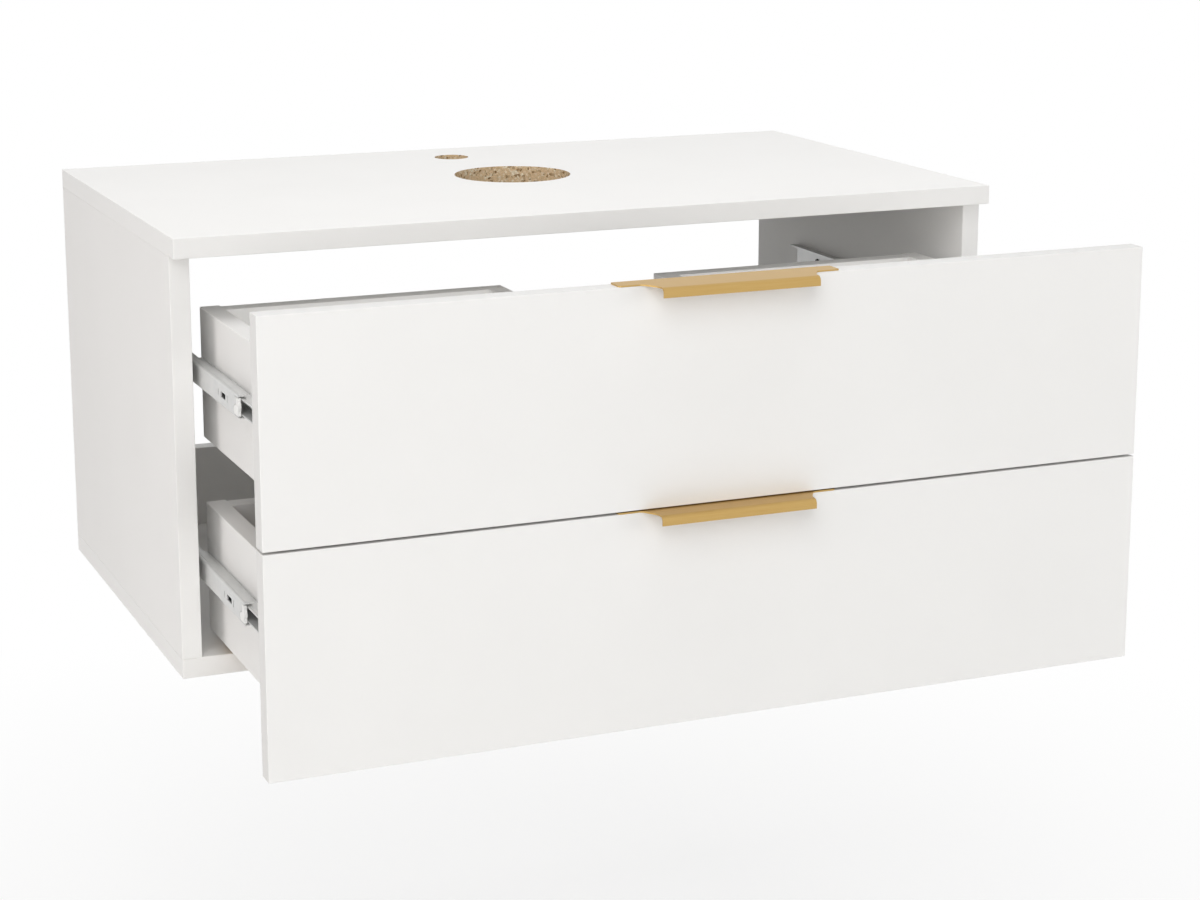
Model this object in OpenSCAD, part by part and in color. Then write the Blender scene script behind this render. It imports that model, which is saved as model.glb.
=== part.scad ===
// Wall-hung vanity: an open-backed carcass of white boards with two full-width drawers on telescopic
// ball-bearing runners. The drawers are drawn standing partly open.
// X runs along the wall, +Y points into the wall, whose face is Y = 0, and Z is up. The origin is the
// middle of the four wall-screw holes.

/* [Cabinet] */
// Width of the cabinet
cabinet_w = 800; // [700:10:1200]
// Depth of the cabinet, from the wall to the front edge of the top
cabinet_d = 460; // [430:5:560]
// Height of the cabinet
cabinet_h = 397; // [380:1:480]
// Thickness of the cabinet boards
board_t = 18; // [16:1:20]

/* [Back rails and wall screws] */
// Height of the upper back rail
upper_rail_h = 70; // [60:1:100]
// Height of the lower back rail
lower_rail_h = 82; // [60:1:100]
// Diameter of the wall-screw holes
wall_screw_d = 6; // [5:0.5:8]
// Distance from a side panel to the middle of the nearest wall-screw hole
wall_screw_inset = 82; // [30:1:120]
// Distance from the top panel down to the middle of the upper wall-screw holes
upper_screw_drop = 40; // [30:1:50]

/* [Holes in the top] */
// Diameter of the tap hole
tap_hole_d = 35; // [32:0.5:38]
// Tap hole, sideways from the middle of the cabinet
tap_hole_x = -8.7; // [-60:0.1:60]
// Tap hole, from the wall to its middle
tap_hole_from_wall = 67; // [45:1:90]
// Diameter of the waste hole
waste_hole_d = 115; // [80:1:120]
// Waste hole, sideways from the middle of the cabinet
waste_hole_x = 4.5; // [-40:0.1:40]
// Waste hole, from the wall to its middle
waste_hole_from_wall = 209; // [190:1:240]

/* [Drawer fronts] */
// Thickness of the drawer fronts
front_t = 18; // [16:1:20]
// Gap above the upper front and below the lower one
edge_gap = 1.5; // [1.4:0.1:3]
// Gap between the two fronts
middle_gap = 2; // [1.5:0.1:4]
// Gap left behind a closed front
closed_gap = 1; // [0.5:0.1:2]

/* [Drawer boxes] */
// Thickness of the drawer box boards
box_t = 18; // [15:1:18]
// Depth of a drawer box behind its front
box_d = 310; // [304:1:330]
// Height of the drawer box sides
box_h = 118; // [90:1:122]
// How much lower the other box boards stand than the sides
back_drop = 1; // [0:0.5:10]
// Lower drawer box, above the bottom panel
lower_box_lift = 9; // [6:0.5:14]
// Upper drawer box, above the lower edge of its front
upper_box_lift = 14.5; // [8:0.5:20]
// Width of the pipe recess
recess_w = 155; // [130:1:200]
// Depth of the pipe recess
recess_d = 170; // [140:1:200]
// Thickness of the drawer bottom
bottom_t = 3; // [3:0.5:6]
// Height of the bottom's groove above the lower edge of the box
groove_lift = 10; // [8:0.5:14]
// How far the drawer bottom reaches into its grooves
bottom_bite = 7; // [5:0.5:8]

/* [Drawer travel] */
// How far the drawers stand open as drawn
open_by = 256; // [0:1:300]

/* [Runners] */
// Room for a runner between the drawer box and the side panel
runner_gap = 21; // [20.5:0.1:23]
// Length of the runner rails
runner_len = 300; // [280:5:300]
// Height of a runner's middle line above the lower edge of its drawer box
runner_lift = 66.7; // [50:0.1:80]
// Thickness of the rail steel
steel_t = 1.2; // [1:0.1:1.3]
// Height of the middle rail
mid_rail_h = 20; // [19:0.5:24]
// Depth of the middle rail's channel
mid_rail_d = 8.1; // [7.9:0.1:9]
// Middle rail's web, from the side panel
mid_rail_s = 5.7; // [5.6:0.1:6]
// Depth of the drawer rail's channel
drawer_rail_d = 12; // [11.7:0.1:12.4]
// Setback of the cabinet rail from the front edge of the side panel
cabinet_rail_setback = 44; // [2:1:50]
// Setback of the closed middle and drawer rails from the front edge of the side panel
rail_setback = 2; // [1.5:0.5:4]
// Diameter of the bearing balls
ball_d = 2; // [1.8:0.1:2.2]
// Balls in one row of a cage
balls_in_row = 6; // [4:1:6]
// Spacing of the balls in a row
ball_pitch = 13; // [10:0.5:13]

/* [Handles] */
// Length of the tab that lies on the front's upper edge
handle_tab_w = 200; // [172:1:260]
// Width of the grip where it leaves the front
grip_root_w = 158; // [120:1:158]
// Width of the grip at its fold
grip_fold_w = 141; // [100:1:145]
// How far the grip stands out from the front
grip_reach = 23; // [18:1:30]
// Height of the grip's folded lip
lip_h = 8.2; // [6:0.1:14]
// Thickness of the handle sheet
handle_t = 1.2; // [1:0.1:1.3]
// Height of the fixing leg behind the front
leg_h = 15; // [13:1:20]
// Width of the fixing leg
leg_w = 160; // [140:1:170]

/* [Fixings] */
// Diameter of the wood dowels
dowel_d = 8; // [6:1:8]
// Length of the wood dowels
dowel_len = 33; // [30:1:35]
// Depth of a dowel in the face of a board
dowel_in_face = 12; // [8:1:12]
// Length of the runner screws' shanks
rail_screw_len = 14; // [10:1:14]
// Length of the handle screws' shanks
handle_screw_len = 12; // [10:1:14]

/* [Hidden] */
$fn = 48;
TIERS = ["lower", "upper"];
SIDES = ["left", "right"];
TIER_PARTS = ["front", "handle", "handle_screws", "box_left_side", "box_right_side", "box_back_left",
    "box_back_right", "recess_left_wall", "recess_right_wall", "recess_front_wall", "box_bottom",
    "box_dowels", "drawer_rail_screws"];
RUNNER_PARTS = ["cabinet_rail", "middle_rail", "end_stop", "drawer_rail", "outer_ball_cage",
    "inner_ball_cage"];

// Colours
WHITE_BOARD = [0.94, 0.94, 0.93];
GOLD = [0.79, 0.63, 0.36];
ZINC = [0.72, 0.72, 0.71];
BLACK_STEEL = [0.12, 0.12, 0.12];
LIGHT_PLASTIC = [0.86, 0.86, 0.85];
BEECH = [0.80, 0.66, 0.48];

// Small clearances and details
overcut = 1;           // how far a cut runs past a face
dowel_gap = 0.1;       // round a dowel
hole_end_gap = 1;      // past a dowel's or screw's end
groove_gap = 0.5;      // past the edge of a drawer bottom
groove_play = 0.2;     // over a drawer bottom
ball_gap = 0.2;        // round a ball, in its race and in its pocket
race_depth = 0.35;     // how deep a race is pressed into a rail
outer_race_s = 8.3;    // outer race, from the side panel
inner_race_s = 11.4;   // inner race, from the side panel
cage_t = 0.6;          // cage strip
cage_gap = 0.4;        // between a cage and what lies beside it
cage_margin = 0.4;     // strip left past a pocket
cage_overhang = 7.5;   // strip past the last ball
outer_cage_setback = 121; // outer cage, from the middle rail's setback line with the drawer closed
inner_cage_setback = 132; // inner cage, from the same line
rail_bend = 1.8;       // outer radius of a rail's bends
cabinet_rail_d = 10.3; // channel depth of the cabinet rail
rail_head_d = 8;
rail_head_h = 1.4;
rail_shank_d = 3.5;
handle_head_d = 6.5;
handle_head_h = 1.8;
handle_shank_d = 3;
handle_screw_x = 60;   // handle screws, sideways from the middle of the handle
handle_screw_drop = 9; // handle screws, below the top of the handle
screw_gap = 0.1;       // round a screw's shank
cross_len = 3.4;       // cross recess in a screw's head
cross_w = 0.8;
cross_depth = 0.9;
rail_screw_at = [28, 124, 252]; // screws, from the front end of their rail
dowel_edge = 28;       // box dowels, from the upper and lower edges of the box
dowel_end = 60;        // cabinet dowels, from the ends of a side panel
rail_dowel_edge = 22;  // cabinet dowels, from the edges of a back rail
grip_fold_r = 2.5;     // outer radius of the grip's fold
grip_fillet_r = 5;     // where the grip leaves the tab
stop_len = 10;         // end stop of the middle rail, to the middle of its S
stop_gap = 0.5;        // between the stop and the web
stop_nose = 1.5;       // how far the stop's nose stands out of the rail
stop_nose_r = 5;
tongue_len = 18;       // tongue behind the web
tongue_h = 14;
tongue_t = 1.3;
window_at = 40;        // window in the middle rail's web
window_len = 15;
window_h = 5;
slits_at = [33, 62];   // slits before and after the window
slit_w = 1.6;
slit_h = 6;
access_at = [200, 262]; // holes for a screwdriver, to reach the cabinet rail's screws
access_d = 9;

// Directions in which a dowel or a screw points
UP = [0, 0, 0];
DOWN = [180, 0, 0];
LEFT = [0, -90, 0];
RIGHT = [0, 90, 0];
BACK = [-90, 0, 0];
FRONT = [90, 0, 0];

// Heights above the underside, and from them the heights in the cabinet's own frame
upper_screw_h = cabinet_h - board_t - upper_screw_drop;
lower_screw_h = board_t + lower_rail_h / 2;
underside_z = -(upper_screw_h + lower_screw_h) / 2;
top_z = underside_z + cabinet_h;
ceiling_z = top_z - board_t;        // underside of the top panel
floor_z = underside_z + board_t;    // upper face of the bottom panel
inner_w = cabinet_w - 2 * board_t;
side_front_y = -(cabinet_d - front_t);
screw_x = inner_w / 2 - wall_screw_inset;

// Drawer fronts
front_h = (ceiling_z - underside_z - 2 * edge_gap - middle_gap) / 2;
front_z = [underside_z + edge_gap, underside_z + edge_gap + front_h + middle_gap];
closed_back_y = side_front_y - closed_gap;
front_back_y = closed_back_y - open_by;
front_face_y = front_back_y - front_t;

// Drawer boxes
box_z = [floor_z + lower_box_lift, front_z[1] + upper_box_lift];
box_half_w = inner_w / 2 - runner_gap;
box_rear_y = front_back_y + box_d;
box_back_y = box_rear_y - box_t;    // inner face of the back boards
recess_y = box_rear_y - recess_d;   // bottom of the recess

// Runners: s is the distance from the side panel towards the drawer box
race_r = ball_d / 2 + ball_gap;
outer_ball_z = mid_rail_h / 2 - race_depth + race_r;
inner_ball_z = mid_rail_h / 2 - steel_t + race_depth - race_r;
cabinet_rail_h = 2 * (outer_ball_z + race_r - race_depth + steel_t);
drawer_rail_h = 2 * (inner_ball_z - race_r + race_depth);
outer_cage_s = steel_t + rail_head_h + cage_gap;
inner_cage_s = mid_rail_s + steel_t + cage_gap;
pocket_r = ball_d / 2 + ball_gap;
cage_len = (balls_in_row - 1) * ball_pitch + 2 * cage_overhang;
cabinet_rail_y = side_front_y + cabinet_rail_setback;
rail_line_y = side_front_y + rail_setback;
mid_rail_y = rail_line_y - open_by / 2;
drawer_rail_y = rail_line_y - open_by;
outer_cage_y = rail_line_y + outer_cage_setback - open_by / 4;
inner_cage_y = rail_line_y + inner_cage_setback - open_by * 3 / 4;

// Each seat is [the dowel's place on the joint face, its direction into the board's end]
side_dowel_y = [side_front_y + dowel_end, side_front_y / 2, -dowel_end];
side_x = (cabinet_w - board_t) / 2;
cabinet_top_seats = [for (x = [-side_x, side_x], y = side_dowel_y) [[x, y, ceiling_z], DOWN]];
cabinet_bottom_seats = [for (x = [-side_x, side_x], y = side_dowel_y) [[x, y, floor_z], UP]];

function rail_seats(z0, h) = [for (x = [-1, 1], z = [z0 + rail_dowel_edge, z0 + h - rail_dowel_edge])
    [[x * inner_w / 2, -board_t / 2, z], x < 0 ? RIGHT : LEFT]];
upper_rail_seats = rail_seats(ceiling_z - upper_rail_h, upper_rail_h);
lower_rail_seats = rail_seats(floor_z, lower_rail_h);
cabinet_seats = concat(cabinet_top_seats, cabinet_bottom_seats, upper_rail_seats, lower_rail_seats);

function box_seats(tier) = [for (at = [dowel_edge, box_h - dowel_edge], x = [-1, 1])
    let (z = box_z[tier] + at) each [
        [[x * (box_half_w - box_t / 2), front_back_y, z], BACK],
        [[x * (box_half_w - box_t), box_rear_y - box_t / 2, z], x < 0 ? RIGHT : LEFT],
        [[x * (recess_w + box_t) / 2, box_back_y, z], FRONT],
        [[x * (recess_w + box_t) / 2, recess_y, z], BACK]]];

// ---- Helpers ----

// A board between two opposite corners
module board(low, high) {
    translate(low) cube(high - low);
}

module dowels(seats) {
    for (seat = seats)
        translate(seat[0]) rotate(seat[1]) translate([0, 0, -dowel_in_face])
            cylinder(d = dowel_d, h = dowel_len);
}

module dowel_holes(seats) {
    for (seat = seats)
        translate(seat[0]) rotate(seat[1]) translate([0, 0, -dowel_in_face - hole_end_gap])
            cylinder(d = dowel_d + 2 * dowel_gap, h = dowel_len + 2 * hole_end_gap);
}

// A pan-head screw with a cross recess: the head stands on z = 0 and the shank points down
module screw(head_d, head_h, shank_d, len) {
    difference() {
        rotate_extrude() {
            translate([0, -len]) square([shank_d / 2, len + head_h / 2]);
            intersection() {
                circle(d = head_d);
                square([head_d / 2, head_h]);
            }
        }
        translate([0, 0, head_h - cross_depth]) linear_extrude(head_h) {
            square([cross_len, cross_w], center = true);
            square([cross_w, cross_len], center = true);
        }
    }
}

module screw_hole(shank_d, len) {
    translate([0, 0, -len - hole_end_gap])
        cylinder(d = shank_d + 2 * screw_gap, h = len + 2 * hole_end_gap);
}

// A hole through a board that stands on z = 0
module through_hole(d) {
    translate([0, 0, -overcut]) cylinder(d = d, h = board_t + 2 * overcut);
}

// Draws the left one as it is and mirrors it for the right
module on_side(side) {
    mirror([side == "right" ? 1 : 0, 0, 0]) children();
}

function runner_z(tier) = box_z[tier] + runner_lift;

// Places children on the runner line of the left side: x is s, from the side panel
module on_runner(tier, side, y) {
    on_side(side) translate([-inner_w / 2, y, runner_z(tier)]) children();
}

// Runs a profile drawn in [s, height] along Y from 0 to len
module run(len) {
    translate([0, len, 0]) rotate([90, 0, 0]) linear_extrude(len) children();
}

// A bar of height h whose rear corners are rounded; its rear lies on s = 0
module rounded_bar(depth, h, bend) {
    translate([bend, -h / 2]) square([depth - bend, h]);
    translate([0, -h / 2 + bend]) square([depth, h - 2 * bend]);
    for (side = [-1, 1]) translate([bend, side * (h / 2 - bend)]) circle(bend);
}

// A bent sheet channel with its web on s = 0, open towards +s
module channel(depth, h, t, bend) {
    difference() {
        rounded_bar(depth, h, bend);
        translate([t, 0]) rounded_bar(depth, h - 2 * t, bend - t);
    }
}

module races(s, z) {
    for (side = [-1, 1]) translate([s, side * z]) circle(race_r);
}

// ---- Carcass ----

module top_panel() color(WHITE_BOARD) difference() {
    board([-cabinet_w / 2, -cabinet_d, ceiling_z], [cabinet_w / 2, 0, top_z]);
    translate([tap_hole_x, -tap_hole_from_wall, ceiling_z]) through_hole(tap_hole_d);
    translate([waste_hole_x, -waste_hole_from_wall, ceiling_z]) through_hole(waste_hole_d);
    dowel_holes(cabinet_top_seats);
}

module bottom_panel() color(WHITE_BOARD) difference() {
    board([-cabinet_w / 2, side_front_y, underside_z], [cabinet_w / 2, 0, floor_z]);
    dowel_holes(cabinet_bottom_seats);
}

module side_panel(side) color(WHITE_BOARD) on_side(side) difference() {
    board([-cabinet_w / 2, side_front_y, floor_z], [-inner_w / 2, 0, ceiling_z]);
    dowel_holes([for (seat = cabinet_seats) if (seat[0][0] < 0) seat]);
    for (tier = [0, 1]) cabinet_rail_screw_places(tier) screw_hole(rail_shank_d, rail_screw_len);
}

module back_rail(z0, h, screw_z, seats) color(WHITE_BOARD) difference() {
    board([-inner_w / 2, -board_t, z0], [inner_w / 2, 0, z0 + h]);
    for (x = [-screw_x, screw_x])
        translate([x, 0, screw_z]) rotate([90, 0, 0]) through_hole(wall_screw_d);
    dowel_holes(seats);
}

// ---- Drawers ----

// Plan of a drawer bottom, grown by g at its edges
module bottom_plan(g) {
    half_w = box_half_w - box_t + bottom_bite + g;
    notch_w = recess_w / 2 + box_t - bottom_bite - g;
    front_y = front_back_y - bottom_bite - g;
    rear_y = box_back_y + bottom_bite + g;
    notch_y = recess_y - box_t + bottom_bite + g;
    difference() {
        translate([-half_w, front_y]) square([2 * half_w, rear_y - front_y]);
        translate([-notch_w, notch_y]) square([2 * notch_w, rear_y - notch_y + overcut]);
    }
}

module box_bottom(tier) color(WHITE_BOARD)
    translate([0, 0, box_z[tier] + groove_lift + groove_play / 2]) linear_extrude(bottom_t) bottom_plan(0);

// What every board of a drawer box loses: the bottom's groove and the dowel holes
module box_cuts(tier) {
    translate([0, 0, box_z[tier] + groove_lift])
        linear_extrude(bottom_t + groove_play) bottom_plan(groove_gap);
    dowel_holes(box_seats(tier));
}

module drawer_front(tier) color(WHITE_BOARD) difference() {
    board([-cabinet_w / 2, front_face_y, front_z[tier]],
        [cabinet_w / 2, front_back_y, front_z[tier] + front_h]);
    box_cuts(tier);
    handle_screw_places(tier) screw_hole(handle_shank_d, handle_screw_len);
}

module box_side(tier, side) color(WHITE_BOARD) on_side(side) difference() {
    board([-box_half_w, front_back_y, box_z[tier]], [-box_half_w + box_t, box_rear_y, box_z[tier] + box_h]);
    box_cuts(tier);
    drawer_rail_screw_places(tier) screw_hole(rail_shank_d, rail_screw_len);
}

module box_back(tier, side) color(WHITE_BOARD) on_side(side) difference() {
    board([-box_half_w + box_t, box_back_y, box_z[tier]],
        [-recess_w / 2, box_rear_y, box_z[tier] + box_h - back_drop]);
    box_cuts(tier);
}

module recess_wall(tier, side) color(WHITE_BOARD) on_side(side) difference() {
    board([-recess_w / 2 - box_t, recess_y, box_z[tier]],
        [-recess_w / 2, box_back_y, box_z[tier] + box_h - back_drop]);
    box_cuts(tier);
}

module recess_front(tier) color(WHITE_BOARD) difference() {
    board([-recess_w / 2 - box_t, recess_y - box_t, box_z[tier]],
        [recess_w / 2 + box_t, recess_y, box_z[tier] + box_h - back_drop]);
    box_cuts(tier);
}

// ---- Handles: one folded sheet, with its middle on X = 0 and the front's upper edge at z = 0 ----

module handle_plan() {
    root = grip_root_w / 2;
    fold = grip_fold_w / 2;
    run_out = grip_reach - grip_fold_r;
    slope = sqrt(pow(root - fold, 2) + pow(run_out, 2));
    lean = (root - fold) / slope;
    rise = run_out / slope;
    // centre of the fillet between the tab's front edge and the slanting edge of the grip
    fillet_x = root + grip_fillet_r * (1 - lean) / rise;
    translate([-handle_tab_w / 2, front_face_y]) square([handle_tab_w, front_t]);
    translate([0, front_face_y]) {
        polygon([[-root, 0], [root, 0], [fold, -run_out], [-fold, -run_out]]);
        for (flip = [0, 1]) mirror([flip, 0]) difference() {
            polygon([[root, 0], [fillet_x, 0],
                [fillet_x - grip_fillet_r * rise, -grip_fillet_r * (1 - lean)]]);
            translate([fillet_x, -grip_fillet_r]) circle(grip_fillet_r);
        }
    }
}

// Profile of the fold and lip in [y, z]; y = 0 is the foremost face. Its top laps the flat of the grip
module lip_profile() {
    depth = grip_fold_r + handle_t;
    translate([0, handle_t - lip_h]) intersection() {
        channel(depth, 2 * lip_h, handle_t, grip_fold_r);
        square([depth, lip_h]);
    }
}

// Profile of the fixing leg in [y, z]; y = 0 is the back face of the front. Its top laps the tab
module leg_profile() {
    difference() {
        circle(handle_t);
        translate([-2 * handle_t, -2 * handle_t]) square(2 * handle_t);
    }
    translate([0, handle_t - leg_h]) square([handle_t, leg_h - handle_t]);
}

// Runs a [y, z] profile along X, centred
module across(w) {
    rotate([90, 0, 90]) translate([0, 0, -w / 2]) linear_extrude(w) children();
}

module handle_screw_places(tier) {
    for (x = [-handle_screw_x, handle_screw_x])
        translate([x, front_back_y + handle_t, front_z[tier] + front_h + handle_t - handle_screw_drop])
            rotate([-90, 0, 0]) children();
}

module handle(tier) color(GOLD) difference() {
    translate([0, 0, front_z[tier] + front_h]) {
        linear_extrude(handle_t) handle_plan();
        translate([0, front_face_y - grip_reach, 0]) across(grip_fold_w) lip_profile();
        translate([0, front_back_y, 0]) across(leg_w) leg_profile();
    }
    handle_screw_places(tier) screw_hole(handle_shank_d, handle_t + hole_end_gap);
}

module handle_screws(tier) color(ZINC)
    handle_screw_places(tier) screw(handle_head_d, handle_head_h, handle_shank_d, handle_screw_len);

// ---- Runners ----

module cabinet_rail_screw_places(tier) {
    for (at = rail_screw_at)
        translate([-inner_w / 2 + steel_t, cabinet_rail_y + at, runner_z(tier)])
            rotate([0, 90, 0]) children();
}

module drawer_rail_screw_places(tier) {
    for (at = rail_screw_at)
        translate([-inner_w / 2 + runner_gap - steel_t, drawer_rail_y + at, runner_z(tier)])
            rotate([0, -90, 0]) children();
}

module cabinet_rail(tier, side) color(ZINC) difference() {
    on_runner(tier, side, cabinet_rail_y) run(runner_len) difference() {
        channel(cabinet_rail_d, cabinet_rail_h, steel_t, rail_bend);
        races(outer_race_s, outer_ball_z);
    }
    on_side(side) cabinet_rail_screw_places(tier) screw_hole(rail_shank_d, steel_t + hole_end_gap);
}

module drawer_rail(tier, side) color(ZINC) difference() {
    on_runner(tier, side, drawer_rail_y) run(runner_len) difference() {
        translate([runner_gap, 0]) mirror([1, 0]) channel(drawer_rail_d, drawer_rail_h, steel_t, rail_bend);
        races(inner_race_s, inner_ball_z);
    }
    on_side(side) drawer_rail_screw_places(tier) screw_hole(rail_shank_d, steel_t + hole_end_gap);
}

// Side view of the end stop in [distance from the rail's front end, height], grown by g: its rear edge
// is an S, one lobe out and one in, and a round nose stands out of the rail
module stop_outline(g) {
    half_h = mid_rail_h / 2 - rail_bend - stop_gap;
    lobe = half_h / 2;
    difference() {
        union() {
            translate([0, -half_h - g]) square([stop_len + g, 2 * (half_h + g)]);
            translate([stop_nose_r - stop_nose, 0]) circle(stop_nose_r);
        }
        translate([stop_len + stop_gap, lobe]) circle(lobe + stop_gap - g);
    }
    translate([stop_len, -lobe]) circle(lobe + g);
}

// Openings in the middle rail's web, in [distance from the rail's front end, height]
module web_cuts() {
    stop_outline(stop_gap);
    translate([window_at, -window_h / 2]) square([window_len, window_h]);
    for (at = slits_at) translate([at, -slit_h / 2]) square([slit_w, slit_h]);
    for (at = access_at) translate([at, 0]) circle(d = access_d);
}

// Extrudes a side view along s, from s = 0
module plate(t) {
    rotate([90, 0, 90]) linear_extrude(t) children();
}

module middle_rail(tier, side) color(ZINC) on_runner(tier, side, mid_rail_y) difference() {
    run(runner_len) difference() {
        translate([mid_rail_s, 0]) channel(mid_rail_d, mid_rail_h, steel_t, rail_bend);
        races(outer_race_s, outer_ball_z);
        races(inner_race_s, inner_ball_z);
    }
    translate([mid_rail_s - steel_t / 2, 0, 0]) plate(2 * steel_t) web_cuts();
}

// The stop fills the web's front cut-out and is clipped in with a tongue behind the web
module end_stop(tier, side) color(LIGHT_PLASTIC) on_runner(tier, side, mid_rail_y) {
    translate([mid_rail_s, 0, 0]) plate(steel_t + tongue_t) stop_outline(0);
    translate([mid_rail_s + steel_t, 0, 0]) plate(tongue_t)
        translate([0, -tongue_h / 2]) square([tongue_len, tongue_h]);
}

// A ball cage: a bent strip with a row of balls above and below; web_s is its web's place
module ball_cage(tier, side, y, web_s, race_s, ball_z) color(ZINC) on_runner(tier, side, y) {
    ball_at = [for (i = [0 : balls_in_row - 1]) cage_overhang + i * ball_pitch];
    difference() {
        run(cage_len) translate([web_s, 0])
            channel(race_s + pocket_r + cage_margin - web_s, 2 * ball_z + cage_t, cage_t, 2 * cage_t);
        for (at = ball_at)
            translate([race_s, at, -ball_z - cage_t]) cylinder(r = pocket_r, h = 2 * (ball_z + cage_t));
    }
    for (at = ball_at, z = [-ball_z, ball_z]) translate([race_s, at, z]) sphere(d = ball_d);
}

module outer_ball_cage(tier, side)
    ball_cage(tier, side, outer_cage_y, outer_cage_s, outer_race_s, outer_ball_z);

module inner_ball_cage(tier, side)
    ball_cage(tier, side, inner_cage_y, inner_cage_s, inner_race_s, inner_ball_z);

module rail_screw() {
    screw(rail_head_d, rail_head_h, rail_shank_d, rail_screw_len);
}

module cabinet_rail_screws() color(BLACK_STEEL)
    for (tier = [0, 1], side = SIDES) on_side(side) cabinet_rail_screw_places(tier) rail_screw();

module drawer_rail_screws(tier) color(BLACK_STEEL)
    for (side = SIDES) on_side(side) drawer_rail_screw_places(tier) rail_screw();

// ---- What is drawn ----

top_panel();
bottom_panel();
side_panel("left");  // left_side_panel
side_panel("right");  // right_side_panel
back_rail(ceiling_z - upper_rail_h, upper_rail_h, ceiling_z - upper_screw_drop, upper_rail_seats);  // upper_back_rail
back_rail(floor_z, lower_rail_h, floor_z + lower_rail_h / 2, lower_rail_seats);  // lower_back_rail
color(BEECH) dowels(cabinet_seats);  // cabinet_dowels
cabinet_rail_screws();
for (tier = [0, 1]) {
    name = TIERS[tier];
    drawer_front(tier);
    handle(tier);
    handle_screws(tier);
    recess_front(tier);
    box_bottom(tier);
    color(BEECH) dowels(box_seats(tier));
    drawer_rail_screws(tier);
    for (side = SIDES) {
        box_side(tier, side);
        box_back(tier, side);
        recess_wall(tier, side);
        cabinet_rail(tier, side);
        middle_rail(tier, side);
        end_stop(tier, side);
        drawer_rail(tier, side);
        outer_ball_cage(tier, side);
        inner_ball_cage(tier, side);
    }
}
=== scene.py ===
"""Looks of a wall-hung vanity with two drawers on ball-bearing runners.

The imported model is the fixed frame. White boards are worked up from it with eased edges, edge bands
and raw chipboard where the core shows, the two edge pulls are folded here from sheet, and the runners
keep the frame's own shapes with a rolled and zinc-plated finish. Lengths are in metres.
"""

import math

import bmesh
import bpy
from bpy.props import FloatProperty, FloatVectorProperty, IntProperty, PointerProperty
from mathutils import Matrix, Vector


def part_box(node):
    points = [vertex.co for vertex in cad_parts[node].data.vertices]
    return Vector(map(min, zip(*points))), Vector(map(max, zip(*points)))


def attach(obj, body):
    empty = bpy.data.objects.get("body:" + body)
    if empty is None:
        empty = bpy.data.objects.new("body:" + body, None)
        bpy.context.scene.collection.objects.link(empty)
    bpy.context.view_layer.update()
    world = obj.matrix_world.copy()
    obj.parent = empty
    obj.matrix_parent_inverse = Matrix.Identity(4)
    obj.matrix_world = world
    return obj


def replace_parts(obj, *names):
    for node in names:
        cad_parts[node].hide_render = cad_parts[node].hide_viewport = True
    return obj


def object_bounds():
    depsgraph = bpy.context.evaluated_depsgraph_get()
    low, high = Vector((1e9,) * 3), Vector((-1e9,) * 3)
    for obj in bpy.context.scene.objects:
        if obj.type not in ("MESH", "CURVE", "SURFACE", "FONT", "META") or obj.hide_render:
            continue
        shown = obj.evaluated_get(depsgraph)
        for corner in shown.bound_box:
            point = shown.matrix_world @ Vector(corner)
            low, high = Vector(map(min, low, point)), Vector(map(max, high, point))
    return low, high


bl_info = {
    "name": "Vanity with two drawers",
    "version": (1, 0, 0),
    "blender": (4, 5, 0),
    "location": "View3D > Sidebar > Vanity",
    "description": "Finishes a wall-hung vanity: boards, edge pulls, runners and a studio",
    "category": "Object",
}

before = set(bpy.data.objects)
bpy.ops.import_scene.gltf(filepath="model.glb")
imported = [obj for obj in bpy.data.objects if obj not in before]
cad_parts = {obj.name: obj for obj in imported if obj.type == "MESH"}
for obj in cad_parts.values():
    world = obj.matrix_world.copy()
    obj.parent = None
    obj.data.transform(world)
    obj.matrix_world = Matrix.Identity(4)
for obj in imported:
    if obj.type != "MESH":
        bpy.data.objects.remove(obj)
cad_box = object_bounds()

MM = 0.001
TIERS = ("lower", "upper")
FACE, BAND, CORE = range(3)       # material slots of a finished board
UPWARD = 0.5                      # a face looks up if its normal rises by more than this

# lengths and angles that decide what counts as one
SAME = 0.01 * MM                  # lengths that differ by less are the same
WELD = 0.001 * MM                 # vertices that are closer become one
SLIVER = 0.03 * MM                # shorter edges of a pull are taken out
MARGIN = MM / 10                  # past the end of a row, so that its last vertex counts
BOARD_FLAT = math.radians(0.3)    # a board's faces that turn by less are one flat
SHEET_FLAT = math.radians(1)      # the same for the unfolded sheet of a pull
SHARP_RIM = math.radians(50)      # a pull's edges that turn by more are broken
SMOOTH_TURN = math.radians(35)    # a pull's faces that turn by less are shaded as one

# flats round each curve of a pull
CORNER_STEPS = 4
ARC_STEPS = 6
FOLD_STEPS = 8
LEG_STEPS = 4
RIM_STEPS = 2
HOLE_SIDES = 24
KNEE_SHARE = 0.95                 # of the knee, taken by its arc; the rest stays straight

FIBRE_SHADE = 0.7                 # dark fibres of hardboard, as a share of the pale ones' colour


def linear(code):
    """Turns an sRGB hex colour into linear red, green and blue."""
    levels = [int(code[i:i + 2], 16) / 255 for i in (0, 2, 4)]
    return tuple(c / 12.92 if c <= 0.04045 else ((c + 0.055) / 1.055) ** 2.4 for c in levels)


# ---- Sizes and colours that a user would change ----

def length(name, description, default):
    """A length in metres for a property group."""
    return FloatProperty(name=name, description=description, default=default, min=0, unit="LENGTH")


def colour(name, description, code):
    """A colour for a property group, from its sRGB hex code."""
    return FloatVectorProperty(name=name, description=description, default=linear(code), subtype="COLOR",
                               min=0, max=1)


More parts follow.
